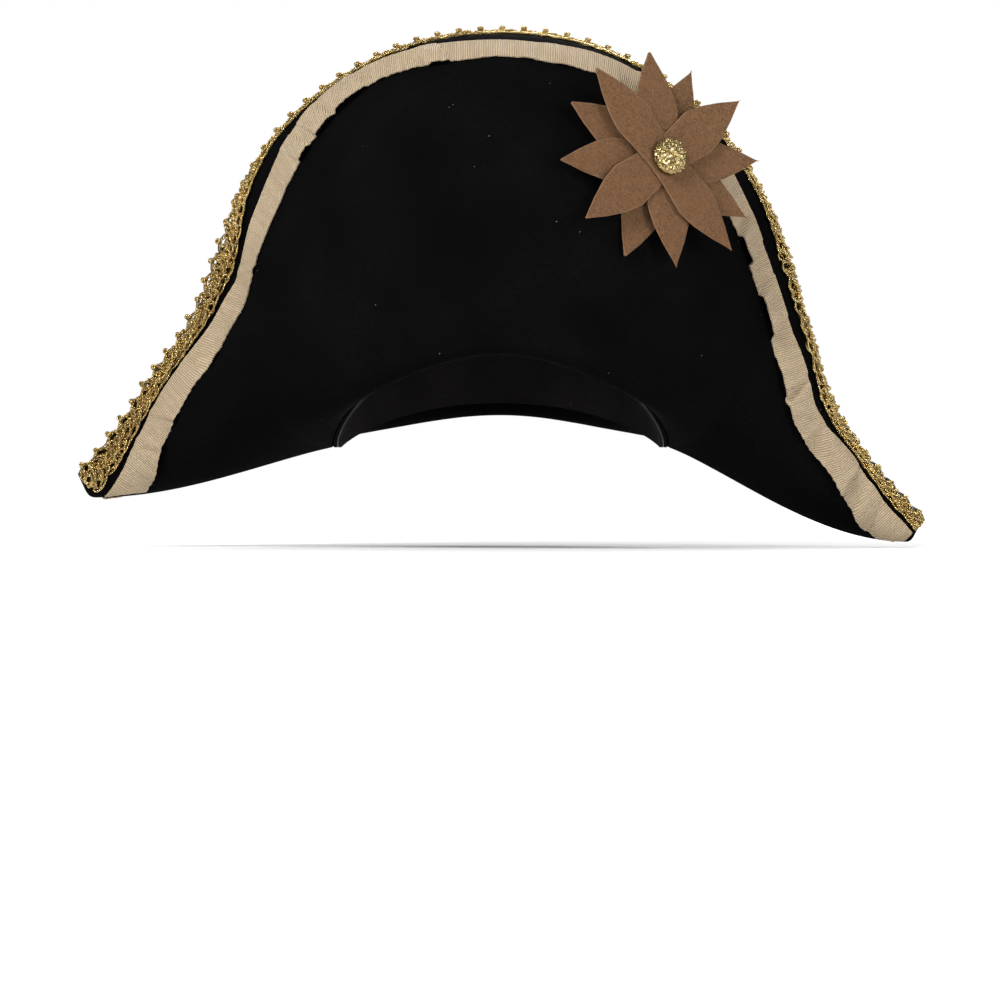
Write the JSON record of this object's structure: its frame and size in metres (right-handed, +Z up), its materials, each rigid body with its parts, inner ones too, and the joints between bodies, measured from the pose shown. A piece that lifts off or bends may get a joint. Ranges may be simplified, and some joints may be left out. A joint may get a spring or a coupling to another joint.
{
  "type": "pirate hat",
  "caption": "cocked hat with a soft crown and a stiff brim turned up front and back into two pointed wings, edged with ribbon and metal braid, with a felt leaf rosette on one side",
  "frame": {"origin": "the middle of the head opening, at the height of its rim over the ears", "axes": "+X the wearer's left, towards the longer-drooping wing; -Y the front, where the wearer looks; +Z up"},
  "size_m": [0.43, 0.2363, 0.2545],
  "materials": {
    "black_cloth": "matte, close-napped",
    "foam": "matte",
    "lining_cloth": "slight satin sheen",
    "sweatband_cloth": "matte twill",
    "ribbon": "ribbed, slight sheen",
    "metal_thread": "glittering, twisted thread",
    "felt": "matte, fibrous",
    "button_metal": "bright, nuggety",
    "sewing_thread": "matte"
  },
  "bodies": {
    "root": {"crown_band": "black_cloth", "crown_top": "black_cloth", "crown_lining": "lining_cloth", "sweatband": "sweatband_cloth", "front_flap_cloth": "black_cloth", "front_flap_foam": "foam", "front_flap_facing": "black_cloth", "back_flap_cloth": "black_cloth", "back_flap_foam": "foam", "back_flap_facing": "black_cloth", "front_ribbon": "ribbon", "back_ribbon": "ribbon", "front_braid": "metal_thread", "back_braid": "metal_thread", "rosette_leaf_1": "felt", "rosette_leaf_2": "felt", "rosette_leaf_3": "felt", "rosette_leaf_4": "felt", "rosette_leaf_5": "felt", "rosette_leaf_6": "felt", "button_cap": "button_metal", "button_eye": "button_metal", "rosette_thread": "sewing_thread"}
  },
  "joints": []
}
